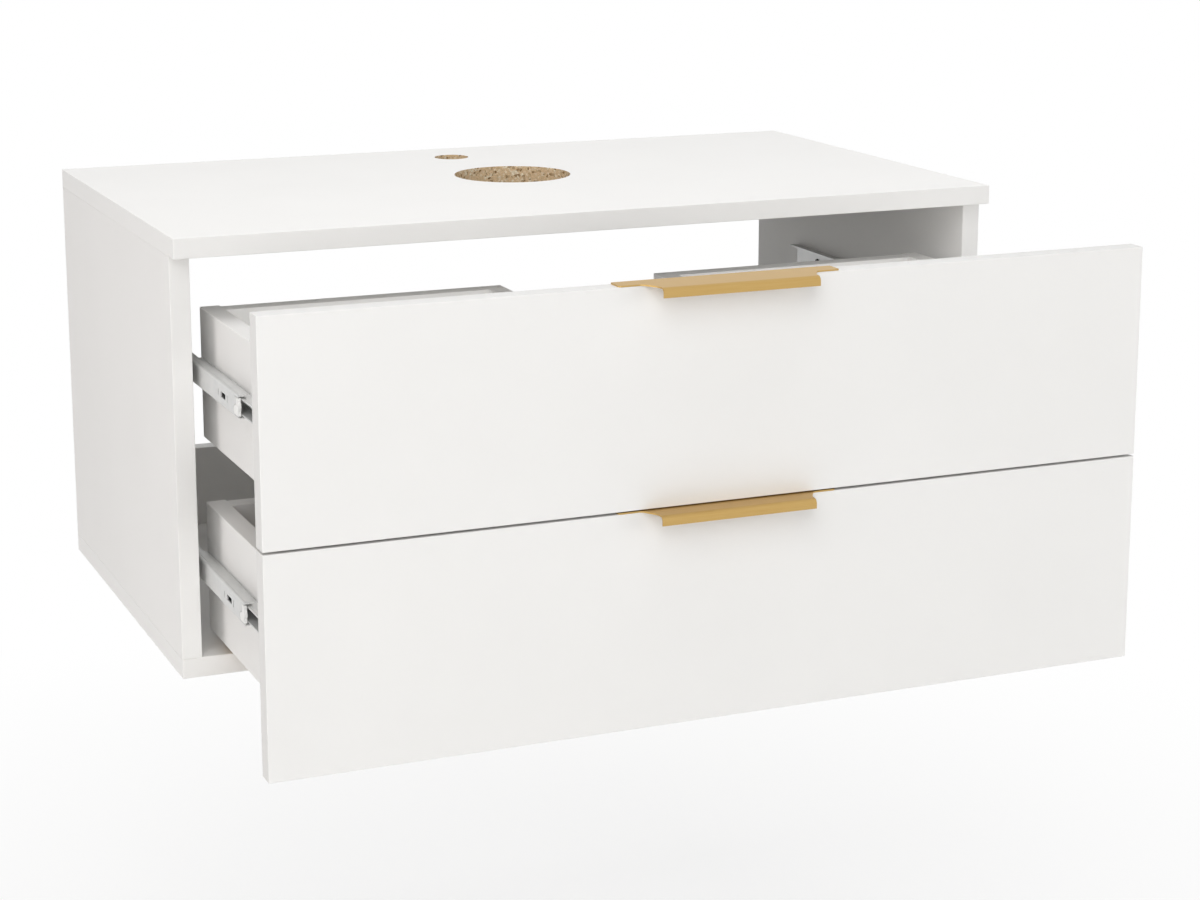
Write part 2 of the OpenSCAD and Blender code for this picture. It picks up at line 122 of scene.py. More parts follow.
class BoardSettings(bpy.types.PropertyGroup):
    """White boards of the carcass, the drawer fronts and the drawer boxes."""

    edge_radius: length("Edge radius", "How far the edges of a board are eased", 0.6 * MM)
    edge_steps: IntProperty(name="Edge steps", description="Flats round an eased edge", default=2, min=1)
    white: colour("White", "Melamine faces", "F1F0EE")
    white_tint: colour("White tint", "Second tone of the melamine faces", "EDECEA")
    band: colour("Edge band", "Plastic edge bands of the carcass and the drawer boxes", "EEEDEB")
    # the fronts' bands are toned darker than the other bands, so that the fronts' edges, the top edge too,
    # look darker than their faces
    front_band: colour("Front band", "Plastic edge bands of the drawer fronts", "E0DFDD")
    chip: colour("Chip", "Raw chipboard", "DCC09A")
    dark_chip: colour("Dark chip", "Bark and dark chips in raw chipboard", "86663F")
    light_chip: colour("Light chip", "Pale chips in raw chipboard", "F0E4CC")
    fibre: colour("Fibre", "Bare underside of the hardboard drawer bottoms", "8F6F4C")


class HandleSettings(bpy.types.PropertyGroup):
    """The two gold edge pulls, each folded from one sheet."""

    sheet: length("Sheet", "Thickness of the sheet", 1.2 * MM)
    root_width: length("Root width", "Width of the grip where it leaves the front", 158 * MM)
    fold_width: length("Fold width", "Width of the grip at its fold", 141 * MM)
    fold_radius: length("Fold radius", "Outer radius of the grip's fold", 4.5 * MM)
    knee: length("Knee", "How far before its fold the grip's sides turn square to it", 4 * MM)
    lip_height: length("Lip height", "Height of the folded lip", 8.2 * MM)
    leg_width: length("Leg width", "Width of the fixing leg behind the front", 160 * MM)
    fillet: length("Fillet", "Where the grip leaves the tab", 5 * MM)
    corner: length("Corner", "Radius of the tab's corners", 2 * MM)
    rim: length("Rim", "How far the sheet's rims are broken", 0.2 * MM)
    screw_spacing: length("Screw spacing", "From one screw to the other", 120 * MM)
    screw_drop: length("Screw drop", "From the top of the handle down to its screws", 9 * MM)
    screw_hole: length("Screw hole", "Diameter of the screw holes in the leg", 3.2 * MM)
    gold: colour("Gold", "Anodised gold", "C09A58")
    gold_tint: colour("Gold tint", "Paler brush lines", "CEB075")


class SteelSettings(bpy.types.PropertyGroup):
    """Zinc-plated runners and screws, and the runners' plastic end stops."""

    zinc: colour("Zinc", "Zinc plating", "DEDEDC")
    zinc_tint: colour("Zinc tint", "Duller patches of the plating", "CCCDCD")
    phosphate: colour("Phosphate", "Black phosphated screws", "2C2B2A")
    phosphate_wear: colour("Phosphate wear", "Greyer rubbed places on the screws", "474543")
    plastic: colour("Plastic", "End stops of the middle rails", "F0F0EE")
    beech: colour("Beech", "Wood dowels", "C9A679")
    beech_grain: colour("Beech grain", "Darker flecks in the dowels", "A97F52")


class StageSettings(bpy.types.PropertyGroup):
    """Camera, floor and lights."""

    camera_place: FloatVectorProperty(name="Camera place", description="Where the camera stands",
                                      default=(-0.912, -2.594, 0.561), subtype="TRANSLATION")
    camera_yaw: FloatProperty(name="Camera yaw", description="Turn towards +X from looking along +Y",
                              default=math.radians(22.97), subtype="ANGLE")
    camera_pitch: FloatProperty(name="Camera pitch", description="How far the camera looks down",
                                default=math.radians(12.06), subtype="ANGLE")
    camera_lens: FloatProperty(name="Focal length", description="In millimetres, on a 36 mm sensor",
                               default=77.8, min=1, subtype="DISTANCE_CAMERA")
    camera_shift: FloatProperty(name="Camera shift", description="Upward shift, in sensor widths",
                                default=-0.08)
    floor_drop: length("Floor drop", "From the underside of the vanity down to the floor", 0.42)
    floor_size: length("Floor size", "Side of the square floor", 40)
    floor_colour: colour("Floor colour", "Pale studio floor", "F4F4F3")
    shadow_centre: FloatVectorProperty(name="Shadow centre", description="Middle of the shadow on the floor",
                                       default=(0, -0.3, 0), subtype="TRANSLATION")
    shadow_reach: length("Shadow reach", "How far from its middle the shadow fades to white", 1.3)
    shadow_core: FloatProperty(name="Shadow core", description="Share of the reach before it starts to fade",
                               default=0.25, min=0, max=1)
    floor_white: FloatProperty(name="Floor white", description="Share of the floor that stays white "
                                                               "under the vanity", default=0.8, min=0, max=1)
    sky: FloatProperty(name="Sky", description="Strength of the even light from all round", default=0.065,
                       min=0)


# ---- Helpers ----

def deselect():
    """Leaves nothing selected, because an operator acts on all that is selected."""
    if bpy.context.object and bpy.context.object.mode != "OBJECT":
        bpy.ops.object.mode_set(mode="OBJECT")
    bpy.ops.object.select_all(action="DESELECT")


def make_active(piece):
    """Selects one piece alone."""
    deselect()
    piece.select_set(True)
    bpy.context.view_layer.objects.active = piece


def edit(piece):
    """Opens a piece in edit mode with nothing selected."""
    make_active(piece)
    bpy.ops.object.mode_set(mode="EDIT")
    bpy.ops.mesh.select_mode(type="VERT")
    bpy.ops.mesh.select_all(action="DESELECT")


def select(piece, wanted, kind="verts"):
    """Selects, in edit mode, the vertices, edges or faces for which wanted is true."""
    bpy.ops.mesh.select_mode(type={"verts": "VERT", "edges": "EDGE", "faces": "FACE"}[kind])
    bpy.ops.mesh.select_all(action="DESELECT")
    mesh = bmesh.from_edit_mesh(piece.data)
    for part in getattr(mesh, kind):
        if wanted(part):
            part.select_set(True)
    mesh.select_flush_mode()
    bmesh.update_edit_mesh(piece.data)


def close_edit():
    """Leaves edit mode."""
    bpy.ops.object.mode_set(mode="OBJECT")


def apply_modifier(piece, kind, **settings):
    """Adds a modifier with its settings and applies it."""
    make_active(piece)
    modifier = piece.modifiers.new(kind.title(), kind)
    for name, value in settings.items():
        setattr(modifier, name, value)
    bpy.ops.object.modifier_apply(modifier=modifier.name)


def is_near(value, target):
    """Whether two lengths are the same to a hundredth of a millimetre."""
    return abs(value - target) < SAME


def add_object(name, data):
    """A new object with this data, in the scene."""
    made = bpy.data.objects.new(name, data)
    bpy.context.scene.collection.objects.link(made)
    return made


# ---- Materials ----

def add(tree, kind, inputs=None, **settings):
    """Adds one shader node with its settings; inputs are values or sockets, by name or number."""
    made = tree.nodes.new(kind)
    for name, value in settings.items():
        setattr(made, name, value)
    for name, value in (inputs or {}).items():
        if isinstance(value, bpy.types.NodeSocket):
            tree.links.new(value, made.inputs[name])
        else:
            made.inputs[name].default_value = value
    return made


def rgba(values):
    """A colour with full alpha, as a node socket takes it."""
    return (*values, 1)


def empty_tree(owner):
    """The node tree of a material or a world, with nothing in it."""
    owner.use_nodes = True
    owner.node_tree.nodes.clear()
    return owner.node_tree


def start_material(name, scale=(1, 1, 1)):
    """A new material, its tree, its shader and Object coordinates in metres, stretched by scale."""
    material = bpy.data.materials.new(name)
    tree = empty_tree(material)
    place = add(tree, "ShaderNodeTexCoord").outputs["Object"]
    stretched = add(tree, "ShaderNodeMapping", {"Vector": place, "Scale": scale}).outputs["Vector"]
    shader = add(tree, "ShaderNodeBsdfPrincipled")
    add(tree, "ShaderNodeOutputMaterial", {"Surface": shader.outputs["BSDF"]})
    return material, tree, shader, stretched


def melamine(settings):
    """Melamine-faced chipboard, pressed with a pearl grain: an even satin white with a soft sheen."""
    material, tree, shader, place = start_material("white_melamine_pressed")
    cloud = add(tree, "ShaderNodeTexNoise",
                {"Vector": place, "Scale": 1 / (120 * MM), "Detail": 2}).outputs["Fac"]
    tone = add(tree, "ShaderNodeMix", {0: cloud, 6: rgba(settings.white), 7: rgba(settings.white_tint)},
               data_type="RGBA")
    tree.links.new(tone.outputs[2], shader.inputs["Base Color"])
    # the pearl grain is about 0.3 mm, drawn at 1.6 mm so that it shows
    pearl = add(tree, "ShaderNodeTexNoise",
                {"Vector": place, "Scale": 1 / (1.6 * MM), "Detail": 2}).outputs["Fac"]
    sheen = add(tree, "ShaderNodeMapRange", {"Value": pearl, "To Min": 0.42, "To Max": 0.52})
    tree.links.new(sheen.outputs["Result"], shader.inputs["Roughness"])
    bump = add(tree, "ShaderNodeBump", {"Height": pearl, "Strength": 0.12, "Distance": 0.05 * MM})
    tree.links.new(bump.outputs["Normal"], shader.inputs["Normal"])
    shader.inputs["IOR"].default_value = 1.5
    shader.inputs["Specular IOR Level"].default_value = 0.35
    return material


def edge_band(settings, name="white_abs_edge_band_milled", tone="band"):
    """Plastic edge banding, extruded and milled flush: a shade smoother and greyer than the faces.

    tone is the setting that holds its colour.
    """
    material, tree, shader, place = start_material(name)
    shader.inputs["Base Color"].default_value = rgba(getattr(settings, tone))
    ripple = add(tree, "ShaderNodeTexNoise",
                 {"Vector": place, "Scale": 1 / (5 * MM), "Detail": 2}).outputs["Fac"]
    sheen = add(tree, "ShaderNodeMapRange", {"Value": ripple, "To Min": 0.34, "To Max": 0.44})
    tree.links.new(sheen.outputs["Result"], shader.inputs["Roughness"])
    bump = add(tree, "ShaderNodeBump", {"Height": ripple, "Strength": 0.1, "Distance": 0.05 * MM})
    tree.links.new(bump.outputs["Normal"], shader.inputs["Normal"])
    shader.inputs["IOR"].default_value = 1.5
    shader.inputs["Specular IOR Level"].default_value = 0.35
    return material


def chipboard(settings):
    """Raw chipboard, pressed and sawn: chips in tan, bark brown and cream, with open pores."""
    # chips are 1 to 3 mm across: cells of 2.2 mm, pushed by up to 1.2 mm so that none has straight sides
    material, tree, shader, place = start_material("raw_chipboard_sawn")
    bend = add(tree, "ShaderNodeTexNoise", {"Vector": place, "Scale": 1 / (2 * MM)}).outputs["Color"]
    bent = add(tree, "ShaderNodeVectorMath", {0: bend, "Scale": 1.2 * MM}, operation="SCALE")
    warped = add(tree, "ShaderNodeVectorMath", {0: place, 1: bent.outputs["Vector"]})
    chips = add(tree, "ShaderNodeTexVoronoi", {"Vector": warped.outputs["Vector"], "Scale": 1 / (2.2 * MM)})
    mixed = add(tree, "ShaderNodeSeparateColor", {"Color": chips.outputs["Color"]}).outputs["Red"]
    ramp = add(tree, "ShaderNodeValToRGB", {"Fac": mixed})
    stops = [(0.0, settings.dark_chip), (0.22, settings.chip), (0.7, settings.chip),
             (1.0, settings.light_chip)]
    for at, _ in stops[1:-1]:
        ramp.color_ramp.elements.new(at)
    for element, (at, tone) in zip(ramp.color_ramp.elements, stops):
        element.position = at
        element.color = rgba(tone)
    dust = add(tree, "ShaderNodeTexNoise",
               {"Vector": place, "Scale": 1 / (0.9 * MM), "Detail": 3}).outputs["Fac"]
    shade = add(tree, "ShaderNodeMapRange", {"Value": dust, "From Min": 0.3, "From Max": 0.7,
                                             "To Min": 0.72, "To Max": 1.15})
    final = add(tree, "ShaderNodeVectorMath", {0: ramp.outputs["Color"], "Scale": shade.outputs["Result"]},
                operation="SCALE")
    tree.links.new(final.outputs["Vector"], shader.inputs["Base Color"])
    shader.inputs["Roughness"].default_value = 0.9
    shader.inputs["Specular IOR Level"].default_value = 0.2
    bump = add(tree, "ShaderNodeBump", {"Height": dust, "Strength": 0.6, "Distance": 0.4 * MM})
    tree.links.new(bump.outputs["Normal"], shader.inputs["Normal"])
    return material


def hardboard(settings):
    """Bare underside of hardboard, pressed on a wire screen: brown fibres in a fine mesh of dimples."""
    material, tree, shader, place = start_material("bare_hardboard_pressed")
    fibres = add(tree, "ShaderNodeTexNoise",
                 {"Vector": place, "Scale": 1 / (2 * MM), "Detail": 4}).outputs["Fac"]
    dark = tuple(FIBRE_SHADE * c for c in settings.fibre)
    tone = add(tree, "ShaderNodeMix", {0: fibres, 6: rgba(dark), 7: rgba(settings.fibre)},
               data_type="RGBA")
    tree.links.new(tone.outputs[2], shader.inputs["Base Color"])
    shader.inputs["Roughness"].default_value = 0.8
    # the screen's wires are 1.5 mm apart, drawn at 3 mm so that they show
    mesh = add(tree, "ShaderNodeTexVoronoi", {"Vector": place, "Scale": 1 / (3 * MM), "Randomness": 0.0})
    bump = add(tree, "ShaderNodeBump", {"Height": mesh.outputs["Distance"], "Strength": 0.4,
                                        "Distance": 0.3 * MM})
    tree.links.new(bump.outputs["Normal"], shader.inputs["Normal"])
    return material


def anodised_gold(settings):
    """Brushed and anodised aluminium: satin gold with hairlines along its length."""
    # hairlines run along X; they are about 0.05 mm apart, drawn at 0.5 mm so that they show
    material, tree, shader, place = start_material("gold_aluminium_brushed", (0.012, 1, 1))
    lines = add(tree, "ShaderNodeTexNoise",
                {"Vector": place, "Scale": 1 / (0.5 * MM), "Detail": 3}).outputs["Fac"]
    tone = add(tree, "ShaderNodeMix", {0: lines, 6: rgba(settings.gold), 7: rgba(settings.gold_tint)},
               data_type="RGBA")
    tree.links.new(tone.outputs[2], shader.inputs["Base Color"])
    shader.inputs["Metallic"].default_value = 1.0
    polish = add(tree, "ShaderNodeMapRange", {"Value": lines, "To Min": 0.35, "To Max": 0.5})
    tree.links.new(polish.outputs["Result"], shader.inputs["Roughness"])
    bump = add(tree, "ShaderNodeBump", {"Height": lines, "Strength": 0.15, "Distance": 0.03 * MM})
    tree.links.new(bump.outputs["Normal"], shader.inputs["Normal"])
    return material


def zinc_plated(settings):
    """Cold-rolled steel, zinc plated and passivated: pale, hazy grey metal with faint rolling lines."""
    material, tree, shader, place = start_material("zinc_plated_steel_rolled", (1, 0.02, 1))
    unstretched = add(tree, "ShaderNodeTexCoord").outputs["Object"]
    patches = add(tree, "ShaderNodeTexNoise",
                  {"Vector": unstretched, "Scale": 1 / (14 * MM), "Detail": 3}).outputs["Fac"]
    tone = add(tree, "ShaderNodeMix", {0: patches, 6: rgba(settings.zinc), 7: rgba(settings.zinc_tint)},
               data_type="RGBA")
    tree.links.new(tone.outputs[2], shader.inputs["Base Color"])
    # the passivation is a thin pale skin over the metal, so part of the light scatters
    shader.inputs["Metallic"].default_value = 0.5
    rolling = add(tree, "ShaderNodeTexNoise",
                  {"Vector": place, "Scale": 1 / (0.6 * MM), "Detail": 2}).outputs["Fac"]
    polish = add(tree, "ShaderNodeMapRange", {"Value": rolling, "To Min": 0.38, "To Max": 0.52})
    tree.links.new(polish.outputs["Result"], shader.inputs["Roughness"])
    bump = add(tree, "ShaderNodeBump", {"Height": rolling, "Strength": 0.1, "Distance": 0.02 * MM})
    tree.links.new(bump.outputs["Normal"], shader.inputs["Normal"])
    return material


def black_phosphate(settings):
    """Steel screw, phosphated and oiled: soft black with greyer places where the bit has rubbed."""
    material, tree, shader, place = start_material("black_steel_phosphated")
    wear = add(tree, "ShaderNodeTexNoise",
               {"Vector": place, "Scale": 1 / (1.2 * MM), "Detail": 3}).outputs["Fac"]
    tone = add(tree, "ShaderNodeMix", {0: wear, 6: rgba(settings.phosphate),
                                       7: rgba(settings.phosphate_wear)}, data_type="RGBA")
    tree.links.new(tone.outputs[2], shader.inputs["Base Color"])
    shader.inputs["Metallic"].default_value = 0.6
    shader.inputs["Roughness"].default_value = 0.5
    bump = add(tree, "ShaderNodeBump", {"Height": wear, "Strength": 0.2, "Distance": 0.03 * MM})
    tree.links.new(bump.outputs["Normal"], shader.inputs["Normal"])
    return material


def moulded_plastic(settings):
    """Injection-moulded acetal: pale grey, slightly waxy, with a fine spark-eroded grain."""
    material, tree, shader, place = start_material("grey_acetal_moulded")
    shader.inputs["Base Color"].default_value = rgba(settings.plastic)
    grain = add(tree, "ShaderNodeTexNoise",
                {"Vector": place, "Scale": 1 / (0.8 * MM), "Detail": 2}).outputs["Fac"]
    sheen = add(tree, "ShaderNodeMapRange", {"Value": grain, "To Min": 0.35, "To Max": 0.5})
    tree.links.new(sheen.outputs["Result"], shader.inputs["Roughness"])
    bump = add(tree, "ShaderNodeBump", {"Height": grain, "Strength": 0.2, "Distance": 0.05 * MM})
    tree.links.new(bump.outputs["Normal"], shader.inputs["Normal"])
    shader.inputs["IOR"].default_value = 1.48
    return material


def turned_beech(settings):
    """Beech dowel, turned: pale tan wood with short darker ray flecks."""
    material, tree, shader, place = start_material("beech_turned")
    flecks = add(tree, "ShaderNodeTexNoise",
                 {"Vector": place, "Scale": 1 / (1.5 * MM), "Detail": 4}).outputs["Fac"]
    tone = add(tree, "ShaderNodeMix", {0: flecks, 6: rgba(settings.beech), 7: rgba(settings.beech_grain)},
               data_type="RGBA")
    tree.links.new(tone.outputs[2], shader.inputs["Base Color"])
    shader.inputs["Roughness"].default_value = 0.65
    bump = add(tree, "ShaderNodeBump", {"Height": flecks, "Strength": 0.3, "Distance": 0.2 * MM})
    tree.links.new(bump.outputs["Normal"], shader.inputs["Normal"])
    return material


# ---- Boards ----

def board_materials(settings):
    """The three surfaces of a board: face, edge band and core, each made once."""
    names = ("white_melamine_pressed", "white_abs_edge_band_milled", "raw_chipboard_sawn")
    makers = (melamine, edge_band, chipboard)
    return [bpy.data.materials.get(name) or make(settings) for name, make in zip(names, makers)]


def copy_node(node, name):
    """A merged copy of a CAD node as a new object, opened in edit mode with its flats made whole."""
    piece = add_object(name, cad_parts[node].data.copy())
    piece.data.materials.clear()
    edit(piece)
    bpy.ops.mesh.customdata_custom_splitnormals_clear()
    bpy.ops.mesh.select_all(action="SELECT")
    bpy.ops.mesh.remove_doubles(threshold=WELD)
    bpy.ops.mesh.dissolve_limited(angle_limit=BOARD_FLAT)
    return piece


def planes_of(point, low, high):
    """The faces of the box from low to high that a point lies on, as (axis, end) pairs."""
    return {(axis, end) for axis in range(3) for end, corner in ((0, low), (1, high))
            if is_near(point[axis], corner[axis])}


def finish_board(node, body, settings, raw=()):
    """Works up one board: eased outer edges, white faces, banded edges and raw core elsewhere.

    raw lists the narrow sides that carry no band, as (axis, end) pairs.
    """
    low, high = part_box(node)
    piece = copy_node(node, f"{node}_board")

    def is_outer(edge):
        """Whether an edge lies where two faces of the board's box meet."""
        start, end = (planes_of(vertex.co, low, high) for vertex in edge.verts)
        return len(start & end) == 2

    select(piece, is_outer, "edges")
    bpy.ops.mesh.bevel(offset=settings.edge_radius, segments=settings.edge_steps, affect="EDGES",
                       clamp_overlap=False)
    close_edit()
    for vertex in piece.data.vertices:
        vertex.co = [min(max(at, start), end) for at, start, end in zip(vertex.co, low, high)]
    size = high - low
    thin = min(range(3), key=lambda axis: size[axis])
    for surface in board_materials(settings):
        piece.data.materials.append(surface)
    for face in piece.data.polygons:
        axis = max(range(3), key=lambda i: abs(face.normal[i]))
        corner = high if face.normal[axis] > 0 else low
        depth = abs(face.center[axis] - corner[axis])
        if depth > settings.edge_radius:
            face.material_index = CORE
        elif axis == thin:
            face.material_index = FACE
        else:
            face.material_index = CORE if (axis, int(face.normal[axis] > 0)) in raw else BAND
    piece.data.shade_flat()
    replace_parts(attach(piece, body), node)
    return piece


class VANITY_OT_carcass(bpy.types.Operator):
    """Finish the carcass: top, bottom, two sides and two back rails"""

    bl_idname = "vanity.carcass"
    bl_label = "Carcass boards"

    def execute(self, context):
        settings = context.scene.vanity_boards
        rear = (1, 1)
        for node in ("top_panel", "bottom_panel", "left_side_panel", "right_side_panel"):
            finish_board(node, "cabinet", settings, raw=(rear,))
        for node in ("upper_back_rail", "lower_back_rail"):
            finish_board(node, "cabinet", settings)
        return {"FINISHED"}


class VANITY_OT_fronts(bpy.types.Operator):
    """Finish the two drawer fronts"""

    bl_idname = "vanity.fronts"
    bl_label = "Drawer fronts"

    def execute(self, context):
        settings = context.scene.vanity_boards
        # a darker copy of the edge band, so that the fronts' edges look darker than their faces
        band = edge_band(settings, "pale_grey_abs_edge_band_milled", "front_band")
        for tier in TIERS:
            piece = finish_board(f"{tier}_front", f"{tier}_drawer", settings)
            piece.data.materials[BAND] = band
        return {"FINISHED"}


class VANITY_OT_boxes(bpy.types.Operator):
    """Finish the boards of the two drawer boxes, with their pipe recesses"""

    bl_idname = "vanity.boxes"
    bl_label = "Drawer box boards"

    def execute(self, context):
        settings = context.scene.vanity_boards
        underside = (2, 0)
        names = ("box_left_side", "box_right_side", "box_back_left", "box_back_right",
                 "recess_left_wall", "recess_right_wall", "recess_front_wall")
        for tier in TIERS:
            for name in names:
                finish_board(f"{tier}_{name}", f"{tier}_drawer", settings, raw=(underside,))
        return {"FINISHED"}


class VANITY_OT_bottoms(bpy.types.Operator):
    """Finish the two thin drawer bottoms, white above and bare fibre below"""

    bl_idname = "vanity.bottoms"
    bl_label = "Drawer bottoms"

    def execute(self, context):
        settings = context.scene.vanity_boards
        white = board_materials(settings)[FACE]
        bare = hardboard(settings)
        for tier in TIERS:
            piece = copy_node(f"{tier}_box_bottom", f"{tier}_box_bottom_sheet")
            close_edit()
            piece.data.materials.append(white)
            piece.data.materials.append(bare)
            for face in piece.data.polygons:
                face.material_index = 0 if face.normal.z > UPWARD else 1
            piece.data.shade_flat()
            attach(piece, f"{tier}_drawer")
            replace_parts(piece, f"{tier}_box_bottom")
        return {"FINISHED"}


# ---- Handles ----

def cut_sheet(half_width):
    """Cuts the open sheet from front to back at half_width on both sides of its middle."""
    for x in (-half_width, half_width):
        bpy.ops.mesh.select_all(action="SELECT")
        bpy.ops.mesh.bisect(plane_co=(x, 0, 0), plane_no=(1, 0, 0))


def select_row(piece, y, half_width=math.inf):
    """Selects the sheet's edges that lie along the row y, out to half_width from its middle."""
    select(piece, lambda e: all(is_near(v.co.y, y) and abs(v.co.x) < half_width + MARGIN
                                for v in e.verts), "edges")


def extend(offset):
    """Extrudes what is selected by an offset."""
    bpy.ops.mesh.extrude_region_move(TRANSFORM_OT_translate={"value": offset})


def flat_plan(piece, settings, front, run, half_width):
    """Draws the unfolded top of a pull: the tab, and a grip that narrows towards its fold."""
    root = settings.root_width / 2
    fold = settings.fold_width / 2
    taper = run - settings.knee
    edit(piece)
    cut_sheet(root)
    select_row(piece, front, root)
    extend((0, -taper, 0))
    select(piece, lambda v: is_near(v.co.y, front - taper))
    bpy.ops.transform.resize(value=(fold / root, 1, 1), center_override=(0, 0, 0))
    select_row(piece, front - taper)
    extend((0, -settings.knee, 0))
    bpy.ops.mesh.select_all(action="SELECT")
    bpy.ops.mesh.dissolve_limited(angle_limit=SHEET_FLAT)
    round_corners(piece, lambda v: is_near(abs(v.co.x), half_width), settings.corner, CORNER_STEPS)
    round_corners(piece, lambda v: is_near(v.co.y, front - taper), KNEE_SHARE * settings.knee, ARC_STEPS)
    # the fillet's tangent points lie this far from the corner that it rounds
    turn = math.atan2(taper, root - fold)
    round_corners(piece, lambda v: is_near(v.co.y, front) and is_near(abs(v.co.x), root),
                  settings.fillet * math.tan(turn / 2), ARC_STEPS)


def round_corners(piece, wanted, tangent, steps):
    """Rounds the corners of a flat sheet for which wanted is true; tangent is how far each arc reaches."""
    select(piece, wanted)
    bpy.ops.mesh.bevel(offset=tangent, offset_type="OFFSET", segments=steps, affect="VERTICES",
                       clamp_overlap=False)


def fold_row(piece, y, half_width, centre, angle, steps, drop):
    """Folds the sheet down at its edge row y: a bend round centre, then a straight stretch."""
    select_row(piece, y, half_width)
    bpy.ops.mesh.spin(steps=steps, angle=angle, center=centre, axis=(1, 0, 0))
    extend((0, 0, -drop))


def drill(piece, places, radius, depth):
    """Cuts round holes along Y through a piece."""
    for place in places:
        deselect()
        bpy.ops.mesh.primitive_cylinder_add(vertices=HOLE_SIDES, radius=radius, depth=depth, location=place,
                                            rotation=(math.pi / 2, 0, 0))
        cutter = bpy.context.object
        apply_modifier(piece, "BOOLEAN", operation="DIFFERENCE", solver="EXACT", object=cutter)
        bpy.data.objects.remove(cutter)


def model_handle(tier, settings):
    """Folds one edge pull from a flat sheet: tab, grip with a lip in front, and leg behind."""
    low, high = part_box(f"{tier}_handle")
    board_low, board_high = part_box(f"{tier}_front")
    top = high.z
    front = board_low.y
    back = board_high.y
    run = front - low.y - settings.fold_radius
    deselect()
    bpy.ops.mesh.primitive_plane_add(size=1, location=(0, (front + back) / 2, top))
    piece = bpy.context.object
    piece.name = f"{tier}_edge_pull"
    piece.scale = (high.x - low.x, back - front, 1)
    bpy.ops.object.transform_apply()
    flat_plan(piece, settings, front, run, high.x)
    fold_row(piece, front - run, settings.fold_width / 2, (0, front - run, top - settings.fold_radius),
             -math.pi / 2, FOLD_STEPS, settings.lip_height - settings.fold_radius)
    leg = settings.leg_width / 2
    cut_sheet(leg)
    fold_row(piece, back, leg, (0, back, top - settings.sheet), math.pi / 2, LEG_STEPS,
             top - settings.sheet - low.z)
    bpy.ops.mesh.select_all(action="SELECT")
    bpy.ops.mesh.remove_doubles(threshold=WELD)
    bpy.ops.mesh.normals_make_consistent(inside=False)
    close_edit()
    flat = max(piece.data.polygons, key=lambda face: face.area)
    if flat.normal.z < 0:
        piece.data.flip_normals()
    apply_modifier(piece, "SOLIDIFY", thickness=settings.sheet, offset=-1, use_even_offset=True)
    screw_x = settings.screw_spacing / 2
    screw_z = top - settings.screw_drop
    # the drill reaches well past the leg on both sides
    drill(piece, [(x, back, screw_z) for x in (-screw_x, screw_x)], settings.screw_hole / 2,
          6 * settings.sheet)
    apply_modifier(piece, "BEVEL", width=settings.rim, segments=RIM_STEPS, limit_method="ANGLE",
                   angle_limit=SHARP_RIM)
    edit(piece)
    bpy.ops.mesh.select_all(action="SELECT")
    bpy.ops.mesh.remove_doubles(threshold=SLIVER)
    bpy.ops.mesh.dissolve_degenerate(threshold=SLIVER)
    close_edit()
    bpy.ops.object.shade_smooth_by_angle(angle=SMOOTH_TURN)
    apply_modifier(piece, "WEIGHTED_NORMAL", keep_sharp=True)
    return piece


class VANITY_OT_handles(bpy.types.Operator):
    """Fold the two gold edge pulls from sheet"""

    bl_idname = "vanity.handles"
    bl_label = "Edge pulls"

    def execute(self, context):
        settings = context.scene.vanity_handles
        lower = model_handle("lower", settings)
        lower.data.materials.append(anodised_gold(settings))
        upper = add_object("upper_edge_pull", lower.data.copy())
        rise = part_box("upper_handle")[0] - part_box("lower_handle")[0]
        upper.data.transform(Matrix.Translation(rise))
        for tier, piece in zip(TIERS, (lower, upper)):
            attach(piece, f"{tier}_drawer")
            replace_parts(piece, f"{tier}_handle")
        return {"FINISHED"}


# ---- Camera, floor and lights ----

class VANITY_OT_stage(bpy.types.Operator):
    """Set up the camera, the pale floor and the studio light"""

    bl_idname = "vanity.stage"
    bl_label = "Studio"

    def execute(self, context):
        settings = context.scene.vanity_stage
        add_camera(settings)
        add_floor(settings)
        add_sky(settings)
        for lamp in LAMPS:
            add_lamp(*lamp)
        context.scene.view_settings.view_transform = "Standard"
        return {"FINISHED"}


def add_camera(settings):
    """The camera at the photograph's angle."""
    data = bpy.data.cameras.new("camera")
    data.lens = settings.camera_lens
    data.shift_y = settings.camera_shift
    camera = add_object("camera", data)
    camera.location = settings.camera_place
    camera.rotation_euler = (math.pi / 2 - settings.camera_pitch, 0, -settings.camera_yaw)
    bpy.context.scene.camera = camera


def seen_directly(tree):
    """1 for rays that come from the camera, a mirror or glass, and 0 for rays that carry light."""
    path = add(tree, "ShaderNodeLightPath")
    shiny = add(tree, "ShaderNodeMath", {0: path.outputs["Is Glossy Ray"],
                                         1: path.outputs["Is Transmission Ray"]}, operation="MAXIMUM")
    seen = add(tree, "ShaderNodeMath", {0: shiny.outputs[0], 1: path.outputs["Is Camera Ray"]},
               operation="MAXIMUM")
    return seen.outputs[0]


